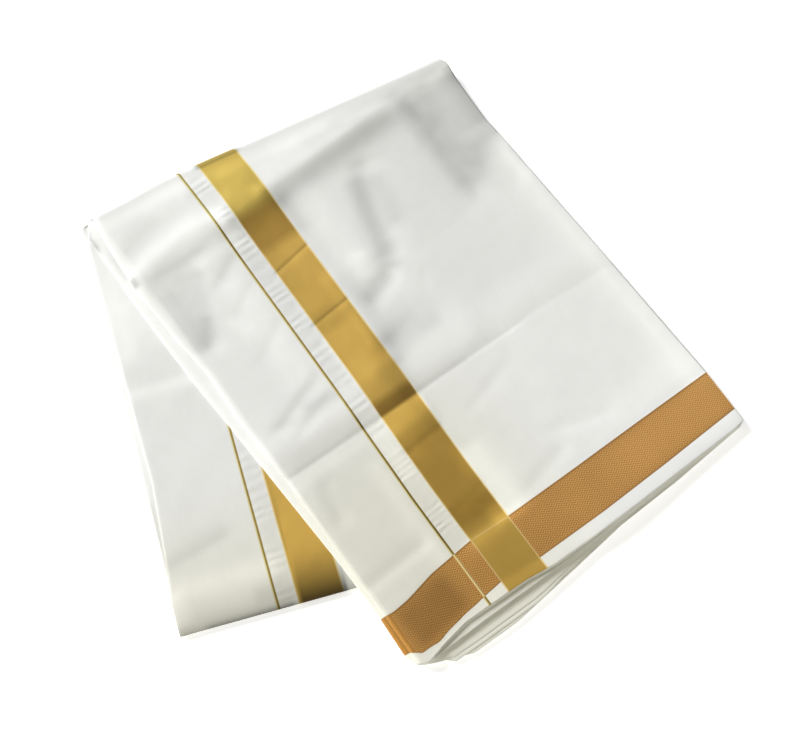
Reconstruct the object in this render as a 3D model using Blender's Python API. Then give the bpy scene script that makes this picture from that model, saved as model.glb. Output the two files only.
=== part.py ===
"""Dhoti cloth: one long unstitched cotton cloth, folded in four along its length and then again across,
lying folded once more over a skewed cross fold, so that an upper leaf lies on a lower leaf.

Strip coordinates: u runs across the folded strip from its left edge, v runs along it from the cross fold,
positive on the upper leaf and negative once it has turned under. Metres, +Z up, the cloth lies on z = 0.
"""

import math

import bmesh
import bpy
import numpy as np

# Cloth and stack, in metres
STRIP_WIDTH = 0.3175  # 1.27 m loom width folded in four
SHEET_WALL = 0.0012  # the visible outer sheet, doubled on itself
LAYER_COUNT = 3  # bundles of hidden layers that show at the edges
LAYER_THICKNESS = 0.0013
LAYER_ROUND = 0.0006  # how far a bundle's folded edge pulls in at its top and bottom
PIECE_GAP = 0.0003

HEM_LEFT = 0.4500  # v of the hem at its left corner
HEM_CORNER = 0.0050  # round of the right corner of the hem

# The cross fold
FOLD_CORNER = (-0.2543, 0.1097)  # left end of the fold line in plan, from the middle of the whole
LENGTH_BEARING = math.radians(-54.2)  # direction of the upper leaf's length in plan
FOLD_SKEW = math.radians(9.2)  # the fold line is this far from square across the strip
LOWER_SHIFT = -0.0146  # the lower leaf lies this far along the fold line
LOWER_LENGTH = 0.3545  # left edge of the lower leaf, fold line to end fold
END_ROLL = 0.0250  # the lower leaf thins over this run into its end fold
END_ROLL_UNDER = 0.0080
UNDER_RUN = 0.2900  # the upper sheet's underside meets the lower sheet's here, along the lower leaf
SHEET_BEGIN = 0.0120  # the lower sheet starts this far inside the cross fold
CORNER_PULL = 0.0050  # the left end of the fold line is drawn in towards the leaves
CORNER_PULL_WIDTH = 0.0650
CORNER_PULL_LENGTH = 0.0900

# How the upper leaf comes down past the lower leaf
DROP_START = -0.0060  # from the lower leaf's edge, a little inside it
DROP_RUN = 0.1600
FOLD_HOLD = 0.0700  # near the cross fold the stack keeps its full height

# Heights out from the axis of the cross fold
INNER_RADIUS = SHEET_WALL / 2 + PIECE_GAP
LAYERS_RADIUS = INNER_RADIUS + LAYER_COUNT * LAYER_THICKNESS
SHEET_RADIUS = LAYERS_RADIUS + PIECE_GAP
OUTER_RADIUS = SHEET_RADIUS + SHEET_WALL
FOLD_AXIS = OUTER_RADIUS  # height of the axis above the table
FOLD_RUN = math.pi * (INNER_RADIUS + OUTER_RADIUS) / 2  # strip length taken up by the turn
LOWER_MIDDLE = (FOLD_AXIS + SHEET_WALL / 2) / 2  # half the height of the lower leaf

END_STEPS = (0.010, 0.013, 0.018, 0.025, 0.034)  # rows of the hidden layers before the end fold
RIGHT_SETBACK = 0.0015  # the hidden layers lie this far inside the sheet's right edge

# Stations across the strip: name, u (mm), cells up to the next
COLUMNS = (
    ("left edge", 0, 1),
    ("left roll", 11, 5),
    ("border line", 69, 1),
    ("gold band", 87, 3),
    ("plain ground", 122, 15),
    ("right roll", 305, 1),
    ("right edge", 317.5, 0),
)

# Stations along the upper leaf: name, v at the left edge, v at the right edge (mm), cells up to the next
UPPER_ROWS = (
    ("fold line", 0, 51.4, 4),
    ("foot of the first crease", 46, 55, 2),
    ("crest of the first crease", 71, 59, 3),
    ("below the first crease", 92, 80, 3),
    ("left edge hollow", 130, 116, 5),
    ("quarter crease", 187, 178, 4),
    ("rise to the second crease", 240, 236, 2),
    ("crest above the second crease", 264, 269, 2),
    ("second crease", 282, 285, 1),
    ("below the second crease", 296, 300, 7),
    ("end band inner edge", 400, 402, 3),
    ("end band outer edge", 442, 442, 0),
)

# Bottom edge: name, u, v of the upper sheet, v of the lowest hidden bundle (mm)
HEM = (
    ("left tip", -4, 446, 444),
    ("left corner", 0, 452, 453),
    ("rolled tip", 8, 456, 458),
    ("second tip", 17, 454, 461),
    ("outer tip", 25, 452, 470),
    ("dip", 42, 448.5, 471),
    ("gold band", 104, 450, 472),
    ("past the band", 128, 451, 467),
    ("middle", 162, 455, 463.5),
    ("right part", 206, 455, 459),
    ("towards the corner", 256, 454.5, 459.5),
    ("right corner", 321, 454, 455.5),
)

# Left edge: name, v, u of the sheet, of the top hidden bundle and of the lowest one (mm)
LEFT_EDGE = (
    ("lower leaf end", -352, -5.5, -7.0, -8.0),
    ("lower leaf roll", -328, -2.6, -5.0, -6.5),
    ("lower third", -250, 2.5, -3.0, -6.5),
    ("lower middle", -165, 1.0, -3.2, -6.2),
    ("lower upper part", -60, -1.6, -4.0, -6.5),
    ("under the fold", -12, -2.0, -5.0, -7.0),
    ("over the fold", 5, -3.0, -10.0, -21.0),
    ("first crease", 72, -2.6, -14.2, -21.0),
    ("above the middle", 125, -0.8, -10.8, -20.0),
    ("middle", 171, 0.5, -5.0, -18.0),
    ("below the middle", 225, 1.0, -5.6, -14.0),
    ("second crease", 280, 1.8, -2.0, -10.3),
    ("lower run", 361, 2.5, -1.0, -4.8),
    ("end band", 410, 4.5, 0.2, -3.6),
    ("hem", 455, 4.0, 0.0, -4.6),
)

# Right edge of the upper leaf: name, v, u of the sheet (mm)
RIGHT_EDGE = (
    ("lower leaf", -60, 317.5),
    ("fold", 50, 318.5),
    ("drawn in", 140, 315.5),
    ("past the lower leaf", 200, 318.3),
    ("second crease", 285, 320.7),
    ("end band", 400, 321.7),
    ("hem", 455, 321.0),
)

# End fold of the lower leaf: name, u, distance from the fold line along the leaf (mm)
END_FOLD = (
    ("left corner", 0, 354.5),
    ("gold band", 122, 359.0),
    ("right corner", 317.5, 360.0),
)

# Broad creases of the upper sheet (mm): name, from u, v, to u, v, bow of the middle towards the hem, reach
# towards the fold, reach towards the hem, fade past the ends, height (below zero is a trough)
CREASES = (
    ("swell up to the first crease", 66, 70, 214, 60, 0, 46, 14, 30, 3.1),
    ("swell up to the first crease, right", 262, 61, 322, 58, 0, 30, 12, 24, 0.9),
    ("roll of the cross fold", 4, 30, 86, 22, 0, 16, 10, 10, 0.6),
    ("ridge round the left end", -6, 72, 78, 69, -9, 13, 17, 8, 2.2),
    ("left edge hollow", 26, 98, 10, 153, 0, 11, 14, 8, -1.1),
    ("corner step", 274, 66, 271, 126, 0, 40, 10, 9, -0.8),
    ("corner droop", 322, 26, 322, 116, 0, 30, 38, 12, -1.6),
    ("pillow beside the band", 148, 90, 146, 160, 0, 22, 18, 14, 1.5),
    ("long hollow", 203, 95, 175, 172, 2, 13, 12, 8, -1.5),
    ("long hollow, foot", 163, 189, 140, 200, 0, 12, 13, 8, -1.1),
    ("above the second crease, left", -4, 259, 66, 263, 0, 15, 19, 10, 1.5),
    ("above the second crease, middle", 82, 266, 186, 270, 0, 22, 13, 12, 1.4),
    ("above the second crease, right", 206, 266, 296, 271, 0, 20, 14, 18, 0.5),
    ("fall towards the end band", 86, 399, 128, 397, 0, 70, 12, 14, -1.5),
    ("lift of the hem's right end", 190, 452, 330, 450, 0, 34, 30, 30, 1.6),
)

MM = 0.001


def ease(x):
    """Smooth step from 0 to 1."""
    x = np.clip(x, 0.0, 1.0)
    return x * x * (3.0 - 2.0 * x)


def fold_directions():
    """Unit vectors in plan along the fold line and square to it, towards the leaves."""
    along = LENGTH_BEARING + math.pi / 2 - FOLD_SKEW
    return (np.array([math.cos(along), math.sin(along)]),
            np.array([math.sin(along), -math.cos(along)]))


ALONG_FOLD, FROM_FOLD = fold_directions()


def crease_height(u, v):
    """Sum of the creases. Each falls off beside its bowed line, with a reach of its own on each side, and
    fades out past its ends."""
    total = np.zeros(np.broadcast(u, v).shape)
    for _, u0, v0, u1, v1, bow, before, after, fade, height in CREASES:
        start = np.array([u0, v0]) * MM
        run = np.array([u1, v1]) * MM - start
        length = np.hypot(*run)
        run = run / length
        along = (u - start[0]) * run[0] + (v - start[1]) * run[1]
        off = (v - start[1]) * run[0] - (u - start[0]) * run[1]
        share = np.clip(along / length, 0.0, 1.0)
        off = off - bow * MM * 4.0 * share * (1.0 - share)
        reach = np.where(off < 0.0, before, after) * MM
        past = np.maximum(np.maximum(-along, along - length), 0.0) / (fade * MM)
        total = total + height * MM * np.exp(-(off / reach) ** 2 - past ** 2)
    return total


def corner_pulled(u, q):
    """Distance from the fold line, with its left end drawn in."""
    pull = CORNER_PULL * ease(1.0 - u / CORNER_PULL_WIDTH)
    return q + pull * ease(1.0 - q / CORNER_PULL_LENGTH)


def lower_plan(u, w):
    """Fold coordinates of a point on the lower leaf, w along it from the cross fold."""
    p = LOWER_SHIFT + u * math.cos(FOLD_SKEW) - w * math.sin(FOLD_SKEW)
    q = u * math.sin(FOLD_SKEW) + w * math.cos(FOLD_SKEW)
    return p, corner_pulled(u, q)


def drop_past_lower_leaf(p, q):
    """How far the upper leaf has come down to the table: 0 on the lower leaf, 1 well past its edges."""
    p = p - LOWER_SHIFT
    u = p * math.cos(FOLD_SKEW) + q * math.sin(FOLD_SKEW)
    w = q * math.cos(FOLD_SKEW) - p * math.sin(FOLD_SKEW)
    beside = np.maximum(u - STRIP_WIDTH, -u)
    beyond = w - LOWER_LENGTH
    distance = np.hypot(np.maximum(beside, 0.0), np.maximum(beyond, 0.0)) - DROP_START
    return ease(distance / DROP_RUN) * ease(q / FOLD_HOLD)


def end_roll(z, to_end):
    """The lower leaf rounds off into its end fold: long roll above, short roll below."""
    run = np.where(z > LOWER_MIDDLE, END_ROLL, END_ROLL_UNDER)
    part = np.clip(1.0 - to_end / run, 0.0, 1.0)
    return LOWER_MIDDLE + (z - LOWER_MIDDLE) * np.sqrt(np.maximum(1.0 - part ** 2, 0.0))


def place(p, q, z):
    """Fold coordinates to x, y, z."""
    x = FOLD_CORNER[0] + ALONG_FOLD[0] * p + FROM_FOLD[0] * q
    y = FOLD_CORNER[1] + ALONG_FOLD[1] * p + FROM_FOLD[1] * q
    return np.stack([x, y, z], axis=-1)


def lay(u, v, radius, creased):
    """A point of the stack, laid along the upper leaf, round the cross fold and back along the lower leaf.

    radius is its distance out from the axis of the fold; creased is its share of the sheet's creases."""
    p = u * math.cos(FOLD_SKEW) + v * math.sin(FOLD_SKEW)
    q = v * math.cos(FOLD_SKEW) - u * math.sin(FOLD_SKEW)
    turn = np.clip(-q / FOLD_RUN, 0.0, 1.0)
    angle = turn * math.pi
    away = np.where(q > 0.0, q, np.maximum(-q - FOLD_RUN, 0.0)) - radius * np.sin(angle)
    away = corner_pulled(u, away)
    shift = LOWER_SHIFT + FOLD_RUN * math.tan(FOLD_SKEW)
    p = p + shift * ease(turn)
    z = FOLD_AXIS + radius * np.cos(angle)
    upper = z - (FOLD_AXIS + INNER_RADIUS) * drop_past_lower_leaf(p, away)
    upper = upper + creased * crease_height(u, v) * ease(q / 0.02)
    lower = end_roll(z, end_fold(u) + v + FOLD_RUN / math.cos(FOLD_SKEW))
    return place(p, away, np.where(q > 0.0, upper, lower))


def filled(table):
    """Stations of a table with even cells put in between them, in metres, one row each."""
    rows = []
    for here, after in zip(table, table[1:]):
        first = np.array(here[1:-1])
        last = np.array(after[1:-1])
        rows.extend(first + (last - first) * step / here[-1] for step in range(here[-1]))
    rows.append(np.array(table[-1][1:-1]))
    return np.array(rows) * MM


def turn_rows(cells):
    """Rows round the cross fold."""
    step = np.arange(1, cells + 1)[::-1] / cells
    left = -FOLD_RUN / math.cos(FOLD_SKEW) * step
    return np.stack([left, left + STRIP_WIDTH * math.tan(FOLD_SKEW)], axis=-1)


def lower_rows(last, cells):
    """Rows under the cross fold, the far one first, down to the end of the turn."""
    step = np.arange(1, cells + 1)[::-1] / cells
    start = -FOLD_RUN / math.cos(FOLD_SKEW)
    skewed = STRIP_WIDTH * math.tan(FOLD_SKEW) * (1.0 - step)
    left = start - last * step
    return np.stack([left, left + skewed], axis=-1)


def row_values(rows, u):
    """v of each row at each u."""
    return rows[:, :1] + (rows[:, 1:] - rows[:, :1]) * (u / STRIP_WIDTH)


def along_table(table, at, column):
    """Value in one column of an edge table, read between its rows; column 1 holds the places."""
    return np.interp(at, [row[1] * MM for row in table], [row[column] * MM for row in table])


def hem_edge(u, share):
    """v of the bottom edge: share 0 is the upper sheet, 1 the lowest bundle."""
    over = np.maximum(u - (along_table(RIGHT_EDGE, HEM_LEFT, 2) - HEM_CORNER), 0.0)
    rounded = HEM_CORNER - np.sqrt(np.maximum(HEM_CORNER ** 2 - over ** 2, 0.0))
    return along_table(HEM, u, 2) * (1.0 - share) + along_table(HEM, u, 3) * share - rounded


def layer_left_edge(v, share):
    """u of the left edge of the hidden layers: share 0 is the top bundle, 1 the lowest."""
    return along_table(LEFT_EDGE, v, 3) * (1.0 - share) + along_table(LEFT_EDGE, v, 4) * share


def end_fold(u):
    """Distance of the lower leaf's end fold from the fold line, along the leaf."""
    return along_table(END_FOLD, u, 2)


def closed_mesh(name, vertices, faces, colour, roughness):
    """One closed body with its own cloth material."""
    mesh = bpy.data.meshes.new(name)
    mesh.from_pydata([tuple(point) for point in vertices], [], faces)
    work = bmesh.new()
    work.from_mesh(mesh)
    bmesh.ops.recalc_face_normals(work, faces=work.faces)
    work.to_mesh(mesh)
    work.free()
    mesh.shade_smooth()
    mesh.set_sharp_from_angle(angle=math.radians(40))
    material = bpy.data.materials.new(name + " cloth")
    material.use_nodes = True
    surface = material.node_tree.nodes["Principled BSDF"]
    surface.inputs["Base Color"].default_value = (*colour, 1.0)
    surface.inputs["Roughness"].default_value = roughness
    mesh.materials.append(material)
    part = bpy.data.objects.new(name, mesh)
    bpy.context.scene.collection.objects.link(part)
    return part


def grid_faces(start, rows, columns):
    """Quads of a grid of points."""
    faces = []
    for row in range(rows - 1):
        for column in range(columns - 1):
            corner = start + row * columns + column
            faces.append((corner, corner + 1, corner + columns + 1, corner + columns))
    return faces


def border(rows, columns):
    """Indices of a grid's border, once round."""
    first = [(0, column) for column in range(columns)]
    right = [(row, columns - 1) for row in range(1, rows)]
    last = [(rows - 1, column) for column in range(columns - 2, -1, -1)]
    left = [(row, 0) for row in range(rows - 2, 0, -1)]
    return np.array(first + right + last + left)


def stacked_body(name, levels, colour, roughness):
    """Closed body from a stack of equal grids: the end ones whole, the ones between by their borders."""
    rows, columns = levels[0].shape[:2]
    loop = border(rows, columns)
    count = rows * columns
    vertices = [levels[0].reshape(-1, 3), levels[-1].reshape(-1, 3)]
    faces = grid_faces(0, rows, columns) + grid_faces(count, rows, columns)
    rings = [[row * columns + column for row, column in loop]]
    for number, level in enumerate(levels[1:-1]):
        vertices.append(level[loop[:, 0], loop[:, 1]])
        rings.append([2 * count + number * len(loop) + step for step in range(len(loop))])
    rings.append([count + index for index in rings[0]])
    for upper, lower in zip(rings, rings[1:]):
        for step in range(len(loop)):
            after = (step + 1) % len(loop)
            faces.append((upper[step], upper[after], lower[after], lower[step]))
    return closed_mesh(name, np.concatenate(vertices), faces, colour, roughness)


def make_upper_sheet():
    """Top face of the upper leaf, round the cross fold and along the table under the lower leaf."""
    columns = filled(COLUMNS)[:, 0]
    rows = np.concatenate([lower_rows(UNDER_RUN, 9), turn_rows(6), filled(UPPER_ROWS)])
    v = row_values(rows, columns)
    v = np.vstack([v, hem_edge(columns, 0.0)])
    u = np.broadcast_to(columns, v.shape).copy()
    u[:, 0] = along_table(LEFT_EDGE, v[:, 0], 2)
    u[:, -1] = along_table(RIGHT_EDGE, v[:, -1], 2)
    levels = [lay(u, v, radius, 1.0) for radius in (OUTER_RADIUS, SHEET_RADIUS)]
    return stacked_body("upper_leaf_sheet", levels, (0.80, 0.80, 0.77), 0.75)


def make_hidden_layers():
    """Hidden layers of both leaves, one body, with each bundle's folded edge standing out at the rim."""
    columns = filled(COLUMNS)[:, 0]
    columns = np.concatenate([columns[:1], columns])
    start = -FOLD_RUN / math.cos(FOLD_SKEW)
    end = np.array([(start - LOWER_LENGTH + step, start - LOWER_LENGTH + step) for step in END_STEPS])
    rows = [end, lower_rows(LOWER_LENGTH - END_STEPS[-1] - 0.014, 8), turn_rows(6), filled(UPPER_ROWS)]
    levels = []
    for number in range(LAYER_COUNT):
        share = number / (LAYER_COUNT - 1)
        for inset, depth in ((LAYER_ROUND, 0.0), (0.0, 0.5), (LAYER_ROUND, 1.0)):
            radius = LAYERS_RADIUS - (number + depth) * LAYER_THICKNESS
            at_hem = np.concatenate([[layer_left_edge(HEM_LEFT, share) + inset], columns[1:]])
            v = row_values(np.concatenate(rows), columns)
            v[0] = v[0] + inset
            v = np.vstack([v, hem_edge(at_hem, 0.0), hem_edge(at_hem, 0.35 + 0.65 * share) - inset])
            u = np.broadcast_to(columns, v.shape).copy()
            u[:, 0] = layer_left_edge(v[:, 0], share) + inset
            u[:, 1] = along_table(LEFT_EDGE, v[:, 1], 2)
            u[:, -1] = along_table(RIGHT_EDGE, v[:, -1], 2) - RIGHT_SETBACK - inset
            levels.append(lay(u, v, radius, 1.0 - (number + depth) / LAYER_COUNT))
    return stacked_body("hidden_layers", levels, (0.82, 0.81, 0.76), 0.80)


def lower_section(side):
    """Section of the lower sheet along the leaf: share of the skewed start, run to the end fold, height.

    side is how far the face lies in from the outer one: 0, or one wall for the inner face."""
    half = LOWER_MIDDLE - side
    section = [(1.0 - step, END_ROLL, LOWER_MIDDLE + half) for step in np.linspace(0.0, 1.0, 12)]
    for roll, degrees in ((END_ROLL, (15, 30, 45, 60, 75, 90)), (END_ROLL_UNDER, (120, 150, 180))):
        for angle in np.radians(degrees):
            to_end = roll - (roll - side) * math.sin(angle)
            section.append((0.0, to_end, LOWER_MIDDLE + half * math.cos(angle)))
    section.append((0.0, 0.0, LOWER_MIDDLE - half))
    return np.array(section)


def make_lower_sheet():
    """Top face of the lower leaf, round its end fold and a short way back along the table."""
    columns = filled(COLUMNS)[:, 0]
    columns = np.concatenate([columns[:1], columns[1::2]])
    begin = SHEET_BEGIN / math.cos(FOLD_SKEW) - columns * math.tan(FOLD_SKEW)
    levels = []
    for side in (0.0, SHEET_WALL):
        skewed, short, z = lower_section(side).T[:, :, None]
        w = begin * skewed + (end_fold(columns) - short) * (1.0 - skewed)
        w[-1] = UNDER_RUN + PIECE_GAP  # the last row is the seam underneath
        u = np.broadcast_to(columns, w.shape).copy()
        u[:, 0] = along_table(LEFT_EDGE, -w[:, 0], 2)
        p, q = lower_plan(u, w)
        levels.append(place(p, q, np.broadcast_to(z, w.shape)))
    return stacked_body("lower_leaf_sheet", levels, (0.80, 0.80, 0.77), 0.75)


for old in list(bpy.data.objects):
    bpy.data.objects.remove(old, do_unlink=True)
make_upper_sheet()
make_hidden_layers()
make_lower_sheet()
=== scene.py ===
"""Dhoti cloth: one long unstitched cotton cloth with woven gold borders, folded along and across, lying on
a table in an upper leaf and a lower leaf joined by one skewed cross fold.

Strip coordinates: u runs across the folded strip from its left edge, v runs along it from the cross fold,
positive on the upper leaf and negative once it has turned under. Metres, +Z up, the cloth lies on z = 0.
"""

import math

import bpy
import numpy as np
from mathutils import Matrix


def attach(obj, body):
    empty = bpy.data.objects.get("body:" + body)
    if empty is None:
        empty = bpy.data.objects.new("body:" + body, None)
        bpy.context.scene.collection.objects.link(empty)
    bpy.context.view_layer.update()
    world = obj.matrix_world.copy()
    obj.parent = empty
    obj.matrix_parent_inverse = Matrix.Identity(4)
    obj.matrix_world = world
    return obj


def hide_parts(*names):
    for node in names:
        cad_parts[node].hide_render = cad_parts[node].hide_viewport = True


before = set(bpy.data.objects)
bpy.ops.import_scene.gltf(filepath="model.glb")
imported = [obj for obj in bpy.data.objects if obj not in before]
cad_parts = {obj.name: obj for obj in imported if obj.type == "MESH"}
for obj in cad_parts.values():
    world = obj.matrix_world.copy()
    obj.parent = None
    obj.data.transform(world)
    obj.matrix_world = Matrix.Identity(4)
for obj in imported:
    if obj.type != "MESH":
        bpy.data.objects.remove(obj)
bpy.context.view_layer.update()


# ---- Camera ----------------------------------------------------------------------------------------------
# Stands at the table's front edge and looks down on the cloth, a little short of straight down.
# A plain lens with no shift and no blur.

CAMERA_AIM = (-0.0021, -0.0255, 0.0)
CAMERA_ELEVATION = math.radians(73.81)
CAMERA_DISTANCE = 0.8479
CAMERA_LENS = 46.62  # mm on a 36 mm wide sensor

camera = bpy.data.objects.new("camera", bpy.data.cameras.new("camera"))
camera.data.sensor_width = 36.0
camera.data.lens = CAMERA_LENS
camera.location = (
    CAMERA_AIM[0],
    CAMERA_AIM[1] - CAMERA_DISTANCE * math.cos(CAMERA_ELEVATION),
    CAMERA_DISTANCE * math.sin(CAMERA_ELEVATION),
)
camera.rotation_euler = (math.pi / 2 - CAMERA_ELEVATION, 0.0, 0.0)
bpy.context.scene.collection.objects.link(camera)
bpy.context.scene.camera = camera


# ---- Table and light -------------------------------------------------------------------------------------
# A plain matt white table top in a white room. A broad soft window light comes from behind it on the left,
# a weaker warm one from the left side and a weak low one from the front. The walls are bright and the room
# above them is dim and warm.

TABLE_SIZE = 12.0  # m
TABLE_TOP = -0.0002  # just under the cloth, so that the two faces don't meet
TABLE_WHITE = "#FBFBFA"
TABLE_GLOW = 0.52
GLOW_WHITE = "#FAFBFF"
ROOM_WHITE = "#FFFFFF"  # the walls near the table's level
ROOM_SHADE = "#737165"  # the room above them
WALL_HEIGHTS = (0.10, 0.26)  # sines of the heights where the walls' white ends and the shade begins

# name, direction it stands in (degrees from +X), height and spread (degrees), light on a face square to it
# (W a square metre), colour
LIGHTS = (
    ("window light", 147, 31, 20, 3.75, "#FBFCFF"),
    ("side light", 212, 30, 34, 1.0, "#FFFBE8"),
    ("low light from the front", 306, 8, 40, 0.45, "#FFFFFF"),
)


def linear(hex_colour):
    """sRGB hex to linear red, green, blue and 1."""
    srgb = np.array([int(hex_colour[place:place + 2], 16) for place in (1, 3, 5)]) / 255.0
    low = srgb / 12.92
    high = ((srgb + 0.055) / 1.055) ** 2.4
    return (*np.where(srgb <= 0.04045, low, high).tolist(), 1.0)


def add_node(tree, kind, inputs=None, **settings):
    """Adds a node with its settings. An input is a value, a socket, or a node, taken at its first socket."""
    node = tree.nodes.new("ShaderNode" + kind)
    for name, value in settings.items():
        setattr(node, name, value)
    for name, value in (inputs or {}).items():
        source = value.outputs[0] if isinstance(value, bpy.types.Node) else value
        if isinstance(source, bpy.types.NodeSocket):
            tree.links.new(source, node.inputs[name])
        else:
            node.inputs[name].default_value = source
    return node


def matt_white_board():
    """Painted board: no gloss, a faint mottle from the roller, and it glows a little like a light table."""
    material = bpy.data.materials.new("matt white table board")
    material.use_nodes = True
    tree = material.node_tree
    surface = tree.nodes["Principled BSDF"]
    place = add_node(tree, "TexCoord")
    mottle = add_node(tree, "TexNoise", {"Vector": place.outputs["Object"], "Scale": 30.0})
    grain = add_node(tree, "Bump", {"Height": mottle, "Strength": 0.02, "Distance": 0.001})
    tree.links.new(grain.outputs["Normal"], surface.inputs["Normal"])
    surface.inputs["Base Color"].default_value = linear(TABLE_WHITE)
    surface.inputs["Roughness"].default_value = 0.9
    surface.inputs["Specular IOR Level"].default_value = 0.2
    surface.inputs["Emission Color"].default_value = linear(GLOW_WHITE)
    surface.inputs["Emission Strength"].default_value = TABLE_GLOW
    return material


half = TABLE_SIZE / 2
board = bpy.data.meshes.new("table_top")
board.from_pydata([(-half, -half, TABLE_TOP), (half, -half, TABLE_TOP),
                   (half, half, TABLE_TOP), (-half, half, TABLE_TOP)], [], [(0, 1, 2, 3)])
board.materials.append(matt_white_board())
table_top = bpy.data.objects.new("table_top", board)
bpy.context.scene.collection.objects.link(table_top)

for name, direction, height, spread, strength, colour in LIGHTS:
    lamp = bpy.data.lights.new(name, "SUN")
    lamp.energy = strength
    lamp.angle = math.radians(spread)
    lamp.color = linear(colour)[:3]
    holder = bpy.data.objects.new(name, lamp)
    holder.rotation_euler = (0.0, math.pi / 2 - math.radians(height), math.radians(direction))
    bpy.context.scene.collection.objects.link(holder)

room = bpy.data.worlds.new("white room")
room.use_nodes = True
sight = add_node(room.node_tree, "TexCoord")
sight_axes = add_node(room.node_tree, "SeparateXYZ", {"Vector": sight.outputs["Generated"]})
walls = add_node(room.node_tree, "ValToRGB", {"Fac": sight_axes.outputs["Z"]})
for element, height, colour in zip(walls.color_ramp.elements, WALL_HEIGHTS, (ROOM_WHITE, ROOM_SHADE)):
    element.position = height
    element.color = linear(colour)
room.node_tree.links.new(walls.outputs["Color"], room.node_tree.nodes["Background"].inputs["Color"])
bpy.context.scene.world = room
bpy.context.scene.view_settings.view_transform = "Standard"


# ---- upper_leaf_cloth ------------------------------------------------------------------------------------
# The outer ply: a doubled length of bleached cotton with a thin gold line, a gold band and a patterned end
# band woven in. It covers the upper leaf, is folded under along its left edge, turns round the cross fold
# and runs on under the lower leaf. Pressed folds from its packing cross it.

MM = 0.001
STRIP_WIDTH = 317.5 * MM  # 1.27 m loom width folded in four
PLY = 0.45 * MM  # one ply as it shows: the cloth doubled on itself, with its softness
FOLD_CORNER = (-0.2543, 0.1097)  # left end of the fold line in plan
LENGTH_BEARING = math.radians(-54.2)  # direction of the upper leaf's length in plan
FOLD_SKEW = math.radians(9.2)  # the fold line is this far from square across the strip
LOWER_SHIFT = -14.6 * MM  # the lower leaf lies this far along the fold line
LOWER_LENGTH = 354.5 * MM  # left edge of the lower leaf, fold line to end fold
END_ROLL = 25 * MM  # the lower leaf thins over this run into its end fold
END_ROLL_UNDER = 8 * MM
UNDER_RUN = 290 * MM  # the outer ply's underside meets the lower leaf's ply here
CORNER_PULL = 5 * MM  # the left end of the fold line is drawn in towards the leaves
CORNER_PULL_WIDTH = 65 * MM
CORNER_PULL_LENGTH = 90 * MM
DROP_START = -6 * MM  # from the lower leaf's edge to where the upper leaf starts down to the table
DROP_RUN = 160 * MM
FOLD_HOLD = 70 * MM  # near the cross fold the stack keeps its full height

# Distances out from the level axis of the cross fold
INNER_RADIUS = 0.9 * MM  # the innermost ply
OUTER_RADIUS = 6.3 * MM  # the top face of the outer ply
FOLD_AXIS = OUTER_RADIUS  # height of the axis above the table
FOLD_RUN = math.pi * (INNER_RADIUS + OUTER_RADIUS) / 2  # strip length taken up by the turn
LOWER_TOP = FOLD_AXIS + 0.6 * MM
LOWER_MIDDLE = LOWER_TOP / 2  # half the height of the lower leaf

FIRST_ROLL = 2.8 * MM  # height of the rolled left edge of the outer ply
TIP_ROUND = 0.7 * MM  # how far a roll's tip stands above its lower side
TIP_WALL = 2.2  # plies there are sideways in a roll's tip, where the cloth doubles back
TIP_HOLLOW = 0.3 * MM  # least half width that stays open inside a roll
ROLL_POWER = 1.7  # 2 is a round roll, 1 a straight slope down to the tip
ROLL_STEPS = 12
RETURN_GAP = 2.0 * MM  # the folded-under ply stops this far inside the right edge
RETURN_COLUMNS = (12, 30, 60, 110, 170, 240, 315)  # u of its stations (mm)
TURN_DOWN = (2.0 * MM, 1.2 * MM)  # the right edge rounds over: width and drop
TURN_STEPS = 4

# Left edge (mm): name, v, u where the top face ends, tip of the first roll, tip of the second roll
LEFT_EDGE = (
    ("lower leaf end", -352, -5.5, -7.0, -8.0),
    ("lower leaf roll", -328, -2.6, -5.0, -6.5),
    ("lower third", -250, 2.5, -3.0, -6.5),
    ("lower middle", -165, 1.0, -3.2, -6.2),
    ("lower upper part", -60, -1.6, -4.0, -6.5),
    ("under the fold", -12, -2.0, -5.0, -7.0),
    ("over the fold", 5, -3.0, -10.0, -21.0),
    ("first crease", 72, -2.6, -14.2, -21.0),
    ("above the middle", 125, -0.8, -10.8, -20.0),
    ("middle", 171, 0.5, -5.0, -18.0),
    ("below the middle", 225, 1.0, -5.6, -14.0),
    ("second crease", 280, 1.8, -2.0, -10.3),
    ("lower run", 361, 2.5, -1.0, -4.8),
    ("end band", 410, 4.5, 0.2, -3.6),
    ("hem", 455, 4.0, 0.0, -4.6),
)

# Right edge (mm): name, v, u
RIGHT_EDGE = (
    ("lower leaf", -60, 317.5),
    ("fold", 50, 320.8),
    ("below the corner", 90, 318.8),
    ("drawn in", 140, 316.5),
    ("past the lower leaf", 200, 318.5),
    ("second crease", 285, 321.6),
    ("end band", 400, 324.4),
    ("hem", 455, 322.0),
)

# End fold of the lower leaf (mm): name, u, distance from the fold line along the leaf
END_FOLD = (
    ("left edge", 0, 354.5),
    ("past the gold band", 122, 359.0),
    ("right edge", 317.5, 360.0),
)

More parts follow.
